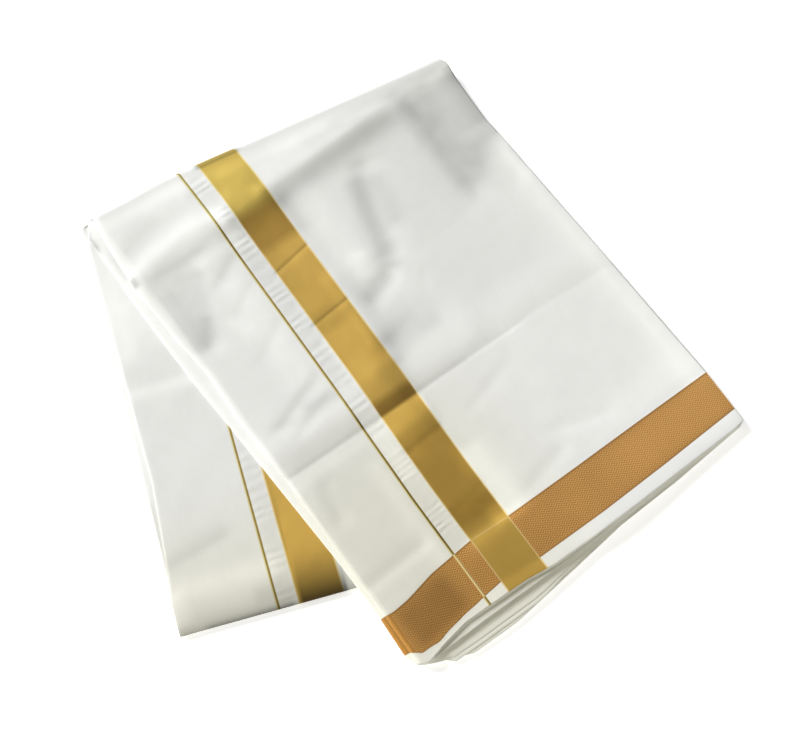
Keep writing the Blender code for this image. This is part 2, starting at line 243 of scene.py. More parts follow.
# Cut ends at the hem (mm): name, u, v of the top face, of the ply folded under it, of the second roll and
# of the lowest ply
HEM = (
    ("left tip", -4, 446, 447, 446, 444),
    ("left corner", 0, 452, 452, 452.5, 453),
    ("rolled tip", 8, 456, 456.5, 457.5, 458),
    ("second tip", 17, 454, 455.5, 458, 461),
    ("outer tip", 25, 452, 456.5, 461.5, 470),
    ("dip", 48, 448.5, 456, 462.5, 471),
    ("gold band", 104, 450.5, 457, 463.5, 472),
    ("past the band", 128, 454, 458, 462, 467),
    ("middle", 162, 455, 457, 460, 463.5),
    ("right part", 206, 455, 456, 457.5, 459),
    ("towards the corner", 256, 454.5, 455.5, 457.5, 459.5),
    ("right corner", 321, 454, 454.3, 455, 455.5),
)
HEM_CORNER = 5 * MM  # round of the right corner of the hem
CORNER_AT = 450 * MM  # v at which the right edge is read for it
HEM_SHARES = (0.3, 0.6, 0.82, 0.94, 1.0)  # last rows, from the end band's outer edge to the cut end
CUT_END = 454  # v of the hem in the weave (mm)

# Woven end band as it lies (mm): name, u, v of its inner edge and of its outer edge
END_BAND = (
    ("left edge", 0, 410, 442),
    ("rolled tip", 8, 411, 448),
    ("left part", 22, 410, 449),
    ("before the line", 47, 405, 444.5),
    ("gold band", 87, 402, 440.5),
    ("past the band", 124, 404, 443.5),
    ("middle", 185, 404.7, 444.5),
    ("right part", 250, 404.7, 443.5),
    ("right edge", 318, 405, 441.5),
)
BAND_INNER = 404  # the same edges in the weave (mm)
BAND_OUTER = 443
TRUE_TO = 300  # up to here v is the same on the cloth and in the weave (mm)

# The border wanders in the folding (mm): name, v, how far right it lies
PATTERN_DRIFT = (
    ("fold", 0, 1.0),
    ("first crease", 50, 2.0),
    ("below the first crease", 110, 1.6),
    ("above the second crease", 240, 1.3),
    ("below the second crease", 290, 0.3),
    ("lower run", 350, -0.6),
    ("end band", 440, 0.0),
)
SHIFT_IN = (15 * MM, 30 * MM)  # across the strip the drift sets in here, over this run
SHIFT_OUT = (250 * MM, 80 * MM)  # and has died out here, over this run
TURNED_UNDER = 0.5 * MM  # deeper than this the ply is turned under
PLAIN_SIDE = 2 * MM  # its weave counts on from here, left of the edge, where no gold is woven
CURL = 1.3 * MM  # the plain margin outside the end band curls up by this much
CURL_START = 441 * MM

# Stations across the top face (mm): name, u, cells up to the next
COLUMNS = (
    ("beside the left roll", 8, 18),
    ("beside the gold line", 64, 33),
    ("past the gold band", 126, 46),
    ("right part", 304, 2),
    ("beside the right edge", 310, 0),
)

# Stations along the upper leaf (mm): name, v at the left edge, v at the right edge, cells up to the next
UPPER_ROWS = (
    ("fold line", 0, 51.4, 12),
    ("foot of the first crease", 40, 54, 14),
    ("crest of the first crease", 64, 64, 16),
    ("below the first crease", 92, 82, 20),
    ("above the band crease", 130, 110, 7),
    ("below the band crease", 138, 118, 22),
    ("above the quarter crease", 185, 177, 7),
    ("below the quarter crease", 193, 184, 33),
    ("above the second crease", 264, 266, 11),
    ("second crease", 279, 282, 10),
    ("below the second crease", 290, 294, 46),
    ("end band inner edge", 404, 405, 18),
    ("end band outer edge", 443, 443, 0),
)
TURN_ROWS = 18  # row lines round the cross fold
UNDER_ROWS = 22  # row lines under the lower leaf

# Creases (mm): name, from u, v, to u, v, bow of the middle towards the hem, reach towards the fold, reach
# towards the hem, fade past the ends, height (below zero is a trough), sharpness (1 is pressed, 2 a soft
# swell). On a line that runs towards the hem, the two reaches are to its right and to its left.
CREASES_FROM = 20 * MM  # they have their full height this far from the fold line
UNDER_SMOOTH = 0.5  # the folded-under ply follows them less by this share
CREASES = (
    ("swell up to the first crease", 66, 70, 214, 60, 0, 46, 14, 30, 3.1, 1.8),
    ("swell up to the first crease, right", 262, 61, 322, 58, 0, 30, 10, 24, 0.9, 1.8),
    ("first crease, pressed ridge", 122, 65, 240, 61, 0, 7, 9, 8, 0.7, 2.0),
    ("roll of the cross fold", 4, 30, 86, 22, 0, 16, 9, 10, 0.6, 2.0),
    ("ridge round the left end", -6, 72, 78, 69, -9, 13, 18, 8, 2.2, 1.9),
    ("fall on the band", 90, 115, 124, 112, 0, 28, 60, 12, -1.2, 1.8),
    ("left edge hollow", 26, 98, 10, 153, 0, 11, 14, 8, -1.1, 2.0),
    ("corner step", 274, 66, 271, 126, 0, 60, 8, 9, -1.1, 1.8),
    ("corner droop", 322, 26, 322, 116, 0, 30, 38, 12, -2.4, 1.8),
    ("corner crease, lower part", 272, 104, 267, 172, 0, 11, 7, 9, -1.0, 1.6),
    ("pillow beside the band", 148, 90, 146, 160, 0, 22, 18, 14, 1.5, 2.2),
    ("long hollow", 203, 95, 175, 172, 2, 13, 11, 7, -1.6, 2.0),
    ("long hollow, foot", 163, 189, 140, 200, 0, 9, 12, 7, -1.2, 1.9),
    ("quarter crease", 150, 186, 318, 178, 0, 5, 7, 6, -0.12, 1.2),
    ("dent beside the band", 120, 241, 152, 229, 0, 9, 10, 6, -0.6, 1.9),
    ("above the second crease, left", -4, 259, 66, 263, 0, 15, 19, 10, 1.5, 2.0),
    ("above the second crease, middle", 82, 266, 186, 270, 0, 22, 12, 12, 1.4, 2.1),
    ("above the second crease, right", 206, 266, 296, 271, 0, 20, 14, 18, 0.5, 2.0),
    ("second crease, pressed valley", -2, 281.5, 222, 284.5, 0, 4, 2.5, 8, -0.5, 1.3),
    ("second crease, soft end", 238, 283, 318, 287, 0, 5, 4, 8, -0.25, 1.6),
    ("wrinkle by the line, first", 44, 114, 66, 102, 0, 5, 8, 5, -0.4, 1.9),
    ("wrinkle by the line, second", 44, 144, 66, 130, 0, 5, 8, 5, -0.3, 1.9),
    ("wrinkle by the line, third", 40, 188, 66, 170, 0, 5, 9, 5, -0.3, 1.9),
    ("wrinkle by the line, fourth", 18, 244, 62, 228, 0, 5, 8, 6, -0.5, 1.9),
    ("wrinkle by the line, fifth", 30, 256, 69, 243, 0, 4, 6, 6, -0.45, 1.9),
    ("left dimple", 22, 304, 16, 330, 0, 7, 8, 8, -0.8, 2.0),
    ("left soft crease", 0, 386, 54, 384, 0, 7, 5, 8, -0.9, 1.8),
    ("fall towards the end band", 86, 399, 128, 397, 0, 70, 9, 14, -1.6, 1.9),
    ("lift of the hem's right end", 190, 452, 330, 450, 0, 34, 30, 30, 1.6, 2.0),
    ("lift of the band below the second crease", 88, 301, 122, 299, 0, 15, 9, 6, 0.6, 2.0),
    ("hem dent, first", 150, 396, 186, 388, 0, 6, 6, 8, -0.5, 1.8),
    ("hem dent, second", 196, 372, 236, 384, 0, 7, 6, 8, -0.5, 1.8),
    ("dent below the second crease", 152, 318, 196, 306, 0, 6, 7, 8, -0.4, 1.8),
    ("band crease, first", 88, 132, 123, 126, 0, 1.5, 2.5, 3, -0.26, 1.3),
    ("band crease, second", 88, 188, 123, 185, 0, 1.5, 2.5, 3, -0.3, 1.3),
    ("band crease, third", 88, 318, 123, 315, 0, 3, 4, 3, -0.32, 1.4),
    ("band crease, fourth", 88, 377, 123, 373, 0, 3, 4, 3, -0.28, 1.4),
)

# Painted light and painted shade: patches where the cloth's colour is made lighter or darker to stand in
# for light and shade that its relief alone doesn't give. Along the band creases the dark lines are partly
# wear of the zari and partly painted shade. Columns as for the creases, and the height is the share of
# colour added or taken.
SHADES = (
    ("shaded corner", 297, 72, 297, 132, 0, 26, 24, 7, -0.15, 4.0),
    ("rolled left edge", -11, 30, -10, 300, 0, 8, 8, 14, 0.08, 4.0),
    ("pinch in the rolled left edge", -11.6, 69, -11.6, 74, 0, 4, 3.6, 3, -0.4, 2.6),
    ("under the corner", 288, 134, 276, 158, 0, 10, 16, 8, -0.10, 2.5),
    ("darkened right of the band", 232, 74, 230, 240, 0, 60, 46, 14, -0.07, 2.6),
    ("darkened at the right", 276, 92, 273, 156, 0, 26, 34, 12, -0.06, 3.0),
    ("under the first crease", 126, 77, 244, 72, 0, 10, 11, 7, -0.16, 2.0),
    ("under the first crease, left", 128, 80, 162, 79, 0, 7, 9, 7, -0.06, 2.0),
    ("under the left ridge", 4, 77, 46, 79, 0, 4, 4, 6, -0.10, 2.0),
    ("below the left ridge", 14, 91, 64, 88, 0, 6, 6, 8, 0.09, 2.2),
    ("bright rise beside the band", 132, 50, 166, 46, 0, 9, 8, 8, 0.09, 2.0),
    ("crest at the right edge", 300, 62, 318, 61, 0, 5, 5, 6, 0.12, 2.0),
    ("right edge, turned under", 319.6, 60, 316.8, 134, 0, 1.5, 1.5, 2, -0.35, 2.0),
    ("right edge, turned under, middle", 316.8, 156, 318.6, 200, 0, 1.5, 1.5, 4, -0.30, 2.0),
    ("right edge, turned under, below", 318.7, 204, 321.6, 285, 0, 1.5, 1.5, 2, -0.35, 2.0),
    ("right edge, turned under, lower end", 321.8, 288, 324.3, 402, 0, 1.8, 1.8, 2, -0.6, 2.0),
    ("below the first crease, right", 256, 72, 284, 72, 0, 8, 12, 8, -0.08, 2.2),
    ("above the first crease, right", 208, 47, 312, 53, 0, 7, 7, 10, -0.10, 2.2),
    ("crest, border side", 2, 59, 112, 62, 0, 11, 8, 8, 0.10, 2.2),
    ("by the line below the first crease", 42, 86, 64, 80, 0, 9, 9, 6, 0.13, 2.2),
    ("rim of the cross fold", -8, 7, 64, 17, 0, 7, 8, 8, 0.14, 2.2),
    ("beside the band", 131, 84, 131, 236, 0, 13, 8, 8, -0.14, 2.2),
    ("beside the band, under the first crease", 127, 82, 128, 110, 0, 8, 6, 7, -0.10, 2.0),
    ("beside the band, above the dent", 127, 233, 126, 252, 0, 9, 6, 6, -0.12, 2.0),
    ("corner crease, upper end", 262, 54, 268, 84, 0, 7, 7, 6, -0.09, 2.0),
    ("beside the corner step", 262, 76, 264, 156, 0, 14, 10, 14, -0.12, 2.5),
    ("shaded corner, at the edge", 320, 70, 320, 114, 0, 8, 14, 7, -0.22, 2.2),
    ("shaded corner, lower end", 314, 126, 284, 149, 0, 10, 9, 6, -0.12, 2.2),
    ("pillow beside the band", 150, 92, 144, 166, 0, 20, 16, 9, 0.06, 3.0),
    ("pillow, lower end", 151, 160, 147, 175, 0, 9, 9, 5, 0.14, 2.2),
    ("long hollow", 188, 104, 178, 153, 0, 9, 9, 6, -0.18, 2.2),
    ("long hollow, right side", 204, 112, 196, 148, 0, 10, 9, 8, -0.15, 2.2),
    ("long hollow, bend", 177, 164, 168, 180, 0, 9, 9, 5, -0.19, 2.2),
    ("long hollow, foot", 160, 187, 138, 194, 0, 8, 7, 5, -0.16, 2.2),
    ("dent beside the band", 124, 230, 156, 231, 0, 10, 9, 6, -0.13, 2.2),
    ("beside the band above the second crease", 122, 247, 170, 241, 0, 9, 7, 6, -0.12, 2.2),
    ("darker above the dent", 150, 212, 172, 226, 0, 12, 12, 10, -0.06, 2.2),
    ("second crease, pressed in", 10, 281, 166, 282.5, 0, 3, 2.5, 8, -0.12, 2.0),
    ("corner crease", 278, 90, 275, 140, 0, 7, 7, 8, -0.08, 2.0),
    ("along the band above the second crease", 117, 254, 115, 278, 0, 12, 10, 7, -0.23, 2.2),
    ("gold above the second crease", 104, 204, 104, 244, 0, 17, 17, 8, 0.15, 6.0),
    ("gold over the cross fold", 104, 24, 104, 54, 0, 17, 17, 7, 0.08, 6.0),
    ("gold at the end band", 117, 392, 117, 402, 0, 6, 8, 4, 0.28, 3.0),
    ("worn and shadowed along the band crease, first", 88, 131.5, 122, 125.5, 0, 1.2, 1.6, 2, -0.15, 2.0),
    ("worn and shadowed along the band crease, second", 88, 187.5, 122, 184.5, 0, 1.4, 2.2, 2, -0.16, 2.0),
    ("worn and shadowed along the band crease, third", 88, 317.5, 122, 314.5, 0, 2.5, 2.5, 2, -0.12, 2.0),
    ("left edge hollow", 14, 92, 12, 148, 0, 16, 14, 8, -0.06, 2.2),
    ("left edge hollow, deep end", 18, 132, 7, 151, 0, 7, 7, 4, -0.13, 2.0),
    ("left edge, in shade", 2, 98, 2, 152, 0, 7, 4, 6, -0.14, 2.4),
    ("left edge hollow, right rim", 34, 96, 16, 146, 0, 6, 7, 6, -0.10, 2.0),
    ("brighter beside the left edge hollow", 34, 146, 42, 160, 0, 7, 7, 5, 0.08, 2.0),
    ("left edge over the ridge", 1, 42, 1, 55, 0, 4, 4, 4, -0.16, 2.0),
    ("rise of the cross fold", 40, 31, 62, 30, 0, 6, 6, 6, 0.09, 2.0),
    ("left of the line, brighter", 54, 122, 54, 222, 0, 12, 14, 8, 0.08, 2.4),
    ("left of the line, first", 50, 108, 66, 99, 0, 4, 4, 5, -0.06, 2.0),
    ("left of the line, second", 22, 240, 64, 223, 0, 4, 4, 6, -0.07, 2.0),
    ("left of the line, third", 14, 240, 68, 249, 4, 5, 5, 6, -0.07, 2.0),
    ("left of the line, fourth", 46, 243, 68, 246, 0, 5, 5, 6, -0.15, 2.0),
    ("beside the line below the second crease", 61, 312, 61, 398, 0, 5, 9, 6, 0.08, 2.2),
    ("below the second crease, left", 0, 291, 62, 291, 0, 6, 4, 8, 0.08, 2.0),
    ("plain strip over the crest", 78, 62, 78, 92, 0, 7, 7, 5, 0.16, 4.0),
    ("plain strip, middle", 78, 102, 78, 240, 0, 7, 7, 5, -0.06, 4.0),
    ("plain strip below the second crease", 78, 292, 78, 334, 0, 7, 7, 6, 0.12, 4.0),
    ("above the second crease, left end", 4, 271, 66, 273, 0, 8, 8, 8, -0.07, 2.0),
    ("border side below the second crease", 34, 304, 34, 390, 0, 34, 34, 12, -0.045, 3.0),
    ("left dimple", 30, 304, 24, 322, 0, 8, 8, 8, -0.05, 2.0),
    ("brighter right side", 322, 160, 320, 400, 0, 20, 21, 12, 0.2, 1.8),
    ("brighter at the right edge", 314, 148, 315, 178, 0, 6, 9, 7, 0.1, 2.2),
    ("brighter at the right edge, lower run", 318, 312, 320.5, 396, 0, 4, 6, 12, 0.14, 2.2),
    ("even right part", 292, 196, 292, 396, 0, 50, 56, 20, 0.05, 4.0),
    ("even lower part", 236, 300, 236, 384, 0, 60, 60, 14, 0.025, 3.0),
    ("gold lifted below the second crease", 88, 292, 122, 290, 0, 7, 12, 1.5, 0.28, 2.5),
    ("before the end band", 222, 396, 322, 391, 0, 24, 7, 24, 0.08, 2.2),
    ("beside the band above the end band", 126, 346, 128, 402, 0, 14, 9, 6, 0.17, 2.2),
    ("gold at its right edge", 118, 162, 118, 228, 0, 5, 5, 8, 0.08, 3.0),
    ("gold at its left edge, dimmed", 93, 110, 93, 150, 0, 10, 6, 7, -0.11, 2.4),
    ("gold below the band crease", 98, 184, 99, 197, 0, 12, 12, 5, -0.11, 2.4),
    ("gold at its left edge below the second crease", 92, 300, 92, 324, 0, 8, 6, 6, 0.1, 2.4),
    ("gold at its right edge below the second crease", 119, 294, 119, 316, 0, 5, 8, 5, -0.13, 2.4),
    ("gold at its right edge over the crest", 119, 52, 119, 72, 0, 4, 7, 5, -0.09, 2.4),
    ("gold at its right edge, lower run", 119, 336, 119, 356, 0, 4, 6, 6, 0.12, 2.4),
    ("end band, left part", 16, 430, 50, 425, 0, 19, 17, 8, -0.29, 6.0),
    ("end band, right part", 244, 424, 330, 423, 0, 18, 18, 40, 0.28, 6.0),
    ("dark reflection on the gold at the cross fold", 87, 13.5, 124, 19.5, 0, 3, 1.2, 2, -0.4, 3.0),
)


def ease(x):
    """Smooth step from 0 to 1: 3 x squared less 2 x cubed."""
    x = np.clip(x, 0.0, 1.0)
    return x * x * (3.0 - 2.0 * x)


def read_table(table, at, column):
    """A column of a table at given places of its first number, straight between its rows, in metres."""
    return np.interp(at, [row[1] * MM for row in table], [row[column] * MM for row in table])


def filled(table):
    """Stations of a table with even cells between them, in metres, one row each."""
    rows = []
    for here, after in zip(table, table[1:]):
        first, last = np.array(here[1:-1]), np.array(after[1:-1])
        rows.extend(first + (last - first) * step / here[-1] for step in range(here[-1]))
    rows.append(np.array(table[-1][1:-1]))
    return np.array(rows) * MM


def soft_lines(table, u, v):
    """Sum of a table's lines. Each falls off as exp(-(distance / reach) ** sharpness) beside its bowed
    line, with a reach of its own on each side, and as exp(-(distance / fade) ** 2) past its ends."""
    total = np.zeros(np.broadcast(u, v).shape)
    for _, u0, v0, u1, v1, bow, before, after, fade, height, sharpness in table:
        start = np.array([u0, v0]) * MM
        run = np.array([u1, v1]) * MM - start
        length = np.hypot(*run)
        run = run / length
        along = (u - start[0]) * run[0] + (v - start[1]) * run[1]
        off = (v - start[1]) * run[0] - (u - start[0]) * run[1]
        share = np.clip(along / length, 0.0, 1.0)
        off = off - bow * MM * 4.0 * share * (1.0 - share)
        reach = np.where(off < 0.0, before, after) * MM
        past = np.maximum(np.maximum(-along, along - length), 0.0) / (fade * MM)
        total = total + height * np.exp(-(np.abs(off) / reach) ** sharpness - past ** 2)
    return total


def crease_height(u, v):
    """Height of the creases, with the plain margin at the cut end curled up."""
    band_shift = read_table(END_BAND, u, 3) - BAND_OUTER * MM
    curled = (v - band_shift - CURL_START) / (CUT_END * MM - CURL_START)
    return MM * soft_lines(CREASES, u, v) + CURL * ease(curled)


def corner_pulled(u, q):
    """Distance from the fold line, with its left end drawn in."""
    pull = CORNER_PULL * ease(1.0 - u / CORNER_PULL_WIDTH)
    return q + pull * ease(1.0 - q / CORNER_PULL_LENGTH)


def drop_past_lower_leaf(p, q):
    """How far the upper leaf has come down to the table: 0 on the lower leaf, 1 well past its edges."""
    p = p - LOWER_SHIFT
    u = p * math.cos(FOLD_SKEW) + q * math.sin(FOLD_SKEW)
    w = q * math.cos(FOLD_SKEW) - p * math.sin(FOLD_SKEW)
    beside = np.maximum(np.maximum(u - STRIP_WIDTH, -u), 0.0)
    beyond = np.maximum(w - LOWER_LENGTH, 0.0)
    distance = np.hypot(beside, beyond) - DROP_START
    return ease(distance / DROP_RUN) * ease(q / FOLD_HOLD)


def end_roll(z, to_end):
    """Height of the lower leaf, rounding off into its end fold: middle + (z - middle) sqrt(1 - part ** 2),
    a quarter ellipse with a long run above the middle and a short one below it."""
    run = np.where(z > LOWER_MIDDLE, END_ROLL, END_ROLL_UNDER)
    part = np.clip(1.0 - to_end / run, 0.0, 1.0)
    return LOWER_MIDDLE + (z - LOWER_MIDDLE) * np.sqrt(np.maximum(1.0 - part ** 2, 0.0))


def place_in_plan(p, q, z):
    """Along the fold line and away from it, to x, y, z."""
    bearing = LENGTH_BEARING + math.pi / 2 - FOLD_SKEW
    x = FOLD_CORNER[0] + math.cos(bearing) * p + math.sin(bearing) * q
    y = FOLD_CORNER[1] + math.sin(bearing) * p - math.cos(bearing) * q
    return np.stack(np.broadcast_arrays(x, y, z), axis=-1)


def lay(u, v, radius, creased):
    """A point of the strip laid along the upper leaf, round the cross fold and back along the lower leaf.

    The cross fold is a half turn about a level axis: away = -radius sin(angle), z = axis + radius
    cos(angle). Past it the strip runs back below. creased is the share of the creases it follows."""
    p = u * math.cos(FOLD_SKEW) + v * math.sin(FOLD_SKEW)
    q = v * math.cos(FOLD_SKEW) - u * math.sin(FOLD_SKEW)
    turn = np.clip(-q / FOLD_RUN, 0.0, 1.0)
    angle = turn * math.pi
    away = np.where(q > 0.0, q, np.maximum(-q - FOLD_RUN, 0.0)) - radius * np.sin(angle)
    away = corner_pulled(u, away)
    p = p + (LOWER_SHIFT + FOLD_RUN * math.tan(FOLD_SKEW)) * ease(turn)
    z = FOLD_AXIS + radius * np.cos(angle)
    upper = z - (FOLD_AXIS + INNER_RADIUS) * drop_past_lower_leaf(p, away)
    upper = upper + creased * crease_height(u, v) * ease(q / CREASES_FROM)
    lower = end_roll(z, read_table(END_FOLD, u, 2) + v + FOLD_RUN / math.cos(FOLD_SKEW))
    return place_in_plan(p, away, np.where(q > 0.0, upper, lower))


def hem_v(u, level):
    """v of a cut end: level 0 the top face, 1 the ply folded under it, 2 the second roll, 3 the lowest."""
    over = np.maximum(u - (read_table(RIGHT_EDGE, CORNER_AT, 2) - HEM_CORNER), 0.0)
    rounded = HEM_CORNER - np.sqrt(np.maximum(HEM_CORNER ** 2 - over ** 2, 0.0))
    ends = [read_table(HEM, u, column) for column in (2, 3, 4, 5)]
    below = min(int(level), 2)
    return ends[below] + (ends[below + 1] - ends[below]) * (level - below) - rounded


def row_lines(under_run, under_rows):
    """v of each row at the strip's left and right edges, from under the lower leaf to the end band."""
    slant = STRIP_WIDTH * math.tan(FOLD_SKEW)
    turn_end = -FOLD_RUN / math.cos(FOLD_SKEW)
    back = np.arange(1, under_rows + 1)[::-1] / under_rows
    under = np.stack([turn_end - under_run * back, turn_end - under_run * back + slant * (1.0 - back)], -1)
    round_fold = turn_end * np.arange(0.5, TURN_ROWS + 0.5)[::-1] / TURN_ROWS
    return np.concatenate([under, np.stack([round_fold, round_fold + slant], -1), filled(UPPER_ROWS)])


def with_hem_rows(lines):
    """v at the left edge of every row, with those out to the cut end."""
    return np.append(lines[:, 0], lines[-1, 0] + (CUT_END * MM - lines[-1, 0]) * np.array(HEM_SHARES))


def rows_to_hem(lines, u, end):
    """v of every point of a ply: its row lines, then the last rows out to its cut end."""
    v = lines[:, :1] + (lines[:, 1:] - lines[:, :1]) * np.clip(u[:len(lines)], 0.0, None) / STRIP_WIDTH
    return np.concatenate([v, [v[-1] + (end - v[-1]) * share for share in HEM_SHARES]])


def rolled_section(boundary, tip, height, thickness):
    """Outer and inner line of a rolled left edge, as u and depth below the top face.

    Two quarter superellipses meet at the tip: x = a sin(t) ** (2 / n), y = h cos(t) ** (2 / n), with n the
    roll's power above the tip and 4 below it. The inner line has shorter half axes about one centre."""
    angle = np.linspace(0.0, math.pi, ROLL_STEPS + 1)[:, None]
    above = angle <= math.pi / 2
    exponent = np.where(above, 2.0 / ROLL_POWER, 0.5)
    out = np.abs(np.sin(angle)) ** exponent
    rise = np.abs(np.cos(angle)) ** exponent
    lines = []
    for inset in (0.0, thickness):
        half_width = np.maximum(boundary - tip - TIP_WALL * inset, TIP_HOLLOW)
        top_half = height - TIP_ROUND - inset
        bottom_half = TIP_ROUND - inset
        depth = height - TIP_ROUND + np.where(above, -top_half, bottom_half) * rise
        lines.append((boundary - half_width * out, np.broadcast_to(depth, (len(angle), boundary.size))))
    return lines


def turned_section(edge, thickness):
    """Outer and inner line of the right edge, a quarter ellipse from the side up to the top face."""
    angle = np.linspace(0.0, math.pi / 2, TURN_STEPS + 1)[:, None]
    lines = []
    for inset in (0.0, thickness):
        u = edge - TURN_DOWN[0] + (TURN_DOWN[0] - inset) * np.cos(angle)
        depth = TURN_DOWN[1] - (TURN_DOWN[1] - inset) * np.sin(angle)
        lines.append((u, np.broadcast_to(depth, (len(angle), edge.size))))
    return lines


def wrapped_grid(v_left, edges, height, thickness, columns, return_columns):
    """u and depth of the outer and inner faces of a ply that rounds over on the right, runs across to the
    left, rolls under and comes back. One row of the grid for each row line, one column for each station."""
    boundary, tip, right = edges
    right_part = turned_section(right, thickness)
    roll = rolled_section(boundary, tip, height, thickness)
    returning = np.array(return_columns)[:, None] * MM
    faces = []
    for side, inset in enumerate((0.0, thickness)):
        flat = np.broadcast_to(columns[::-1, None], (len(columns), v_left.size))
        back = np.tile(returning, (1, v_left.size))
        back[-1] = right - RETURN_GAP - inset
        u = np.concatenate([right_part[side][0], flat, roll[side][0], back])
        depth = np.concatenate([right_part[side][1], np.full(flat.shape, inset), roll[side][1],
                                np.full(back.shape, height - inset)])
        faces.append((u.T, depth.T))
    return faces


def shell_faces(rows, columns):
    """Quads of a closed shell: outer grid, inner grid, and a rounded rim of one extra ring between them."""
    index = np.arange(rows * columns).reshape(rows, columns)
    quads = np.stack([index[:-1, :-1], index[:-1, 1:], index[1:, 1:], index[1:, :-1]], -1).reshape(-1, 4)
    inner = quads[:, ::-1] + rows * columns
    ring = np.concatenate([index[0, :], index[1:, -1], index[-1, -2::-1], index[-2:0:-1, 0]])
    middle = 2 * rows * columns + np.arange(len(ring))
    sides = []
    for first, second in ((ring, middle), (middle, ring + rows * columns)):
        sides.append(np.stack([first, second, np.roll(second, -1), np.roll(first, -1)], -1))
    return ring, np.concatenate([quads, inner, *sides])


def cloth_shell(outer, inner, weave, shade):
    """Vertices, faces, weave coordinates and shades of a closed shell between two equal grids of points.

    The rim bulges out by a third of the ply, away from the next points of the grid."""
    rows, columns = outer.shape[:2]
    ring, faces = shell_faces(rows, columns)
    middle = (outer + inner) / 2
    away = np.zeros_like(middle)
    away[0] += middle[0] - middle[1]
    away[-1] += middle[-1] - middle[-2]
    away[:, 0] += middle[:, 0] - middle[:, 1]
    away[:, -1] += middle[:, -1] - middle[:, -2]
    away = away.reshape(-1, 3)[ring]
    away = away / np.maximum(np.linalg.norm(away, axis=1, keepdims=True), 1e-9)
    rim = middle.reshape(-1, 3)[ring] + away * PLY / 3
    points = np.concatenate([outer.reshape(-1, 3), inner.reshape(-1, 3), rim])
    flat = weave.reshape(-1, 2)
    tone = shade.ravel()
    return points, faces, np.concatenate([flat, flat, flat[ring]]), np.concatenate([tone, tone, tone[ring]])


def joined_mesh(name, shells, material):
    """One mesh of one or more closed shells, each turned so that its faces point outwards, as an object."""
    points, faces, weave, shade, start = [], [], [], [], 0
    for shell_points, shell_quads, shell_weave, shell_shade in shells:
        a, b, c, d = (shell_points[shell_quads[:, corner]] for corner in range(4))
        volume = np.einsum("ij,ij->", a, np.cross(b, c)) + np.einsum("ij,ij->", a, np.cross(c, d))
        faces.append((shell_quads if volume > 0.0 else shell_quads[:, ::-1]) + start)
        points.append(shell_points)
        weave.append(shell_weave)
        shade.append(shell_shade)
        start += len(shell_points)
    points, faces, weave = np.concatenate(points), np.concatenate(faces), np.concatenate(weave)
    mesh = bpy.data.meshes.new(name)
    mesh.from_pydata(points.tolist(), [], faces.tolist())
    layer = mesh.uv_layers.new(name="weave")
    layer.data.foreach_set("uv", weave[faces.ravel()].astype(np.float32).ravel())
    # the shade attribute: the share of painted light and shade at each point
    mesh.attributes.new("shade", "FLOAT", "POINT").data.foreach_set("value", np.concatenate(shade))
    mesh.shade_smooth()
    mesh.materials.append(material)
    piece = bpy.data.objects.new(name, mesh)
    bpy.context.scene.collection.objects.link(piece)
    return piece


def weave_place(u, v, depth, roll_end, cut_end):
    """Weave coordinates of a point: u counted on round the roll, v as the loom has it, with the end band
    straight. On the cloth as it lies the end band wanders, so v is stretched to fit between its edges."""
    woven_u = np.where(depth > TURNED_UNDER, np.minimum(-u, 0.0) - PLAIN_SIDE, u)
    woven_u = np.where(u < roll_end, np.minimum(u, -PLAIN_SIDE), woven_u)
    drift = read_table(PATTERN_DRIFT, v, 2) * ease((u - SHIFT_IN[0]) / SHIFT_IN[1])
    drift = drift * ease((SHIFT_OUT[0] - u) / SHIFT_OUT[1])
    woven_u = np.where(woven_u > 0.0, woven_u - drift, woven_u)
    marks = (np.full(u.shape, TRUE_TO * MM), read_table(END_BAND, u, 2), read_table(END_BAND, u, 3),
             cut_end + np.zeros(u.shape))
    woven = np.array([TRUE_TO, BAND_INNER, BAND_OUTER, CUT_END]) * MM
    woven_v = v.copy()
    for low, high, woven_low, woven_high in zip(marks, marks[1:], woven, woven[1:]):
        stretched = woven_low + (v - low) / (high - low) * (woven_high - woven_low)
        woven_v = np.where((v > low) & (v <= high + 1e-9), stretched, woven_v)
    return np.stack([woven_u, woven_v], -1)


# Colours of the yarns, the painted shade laid on the gold and on the border side, and a cooler yellow
COTTON, CREAM = "#E6E7E7", "#F6F4E9"
LINE_GOLD, LINE_EDGE = "#A08A44", "#DCD3A6"
BAND_GOLD, EDGE_GOLD = "#D0AC58", "#E8D29A"
END_DARK, END_LIGHT = "#C18A49", "#EAB974"
END_EDGE, END_ON_FOLD = "#B28448", "#BE8C48"
GOLD_SHADE, GOLD_HALF_SHADE, GOLD_DEEP_SHADE, LEMON = "#D8D2C6", "#EAE6DE", "#CCC4B6", "#F1FEFF"
BLACK, WHITE = "#000000", "#FFFFFF"
ZARI_METAL = 0.68
ZARI_ROUGHNESS = 0.56
COTTON_ROUGHNESS = 0.85
SHOWS_THROUGH = 0.4  # share of the end band's inner edge that shows through the gold
BORDER_STRETCH = (62, 130)  # across the strip, round the line and the band (mm)
END_STRETCH = (396, 456)  # along it, round the end band (mm)

# Sizes of the weave. The real threads are 0.3 mm apart and the ribs of the end band under 1 mm, and both
# are drawn as coarse as they need to show. The ribs slant, and turn back every few threads.
THREAD = 0.8 * MM
RIB = 2.0 * MM
RIB_TURN = 3.4 * MM
RIB_TONES = (-0.7, 0.9)  # the ribs' wave is at its darkest and at its lightest here
ROUND_EDGE = 3.0 * MM  # this near the left edge no ribs are drawn
PUCKER = 9.0 * MM  # from one pucker to the next
PUCKER_WANDER = 20 * MM  # how far they stray from even places
PUCKER_STRENGTH = (0.2, 1.6)  # share of their height, least and most
THREAD_HEIGHT, RIB_HEIGHT, PUCKER_HEIGHT, DIMPLE_HEIGHT = 0.010, 0.020, 0.10, 0.35  # mm

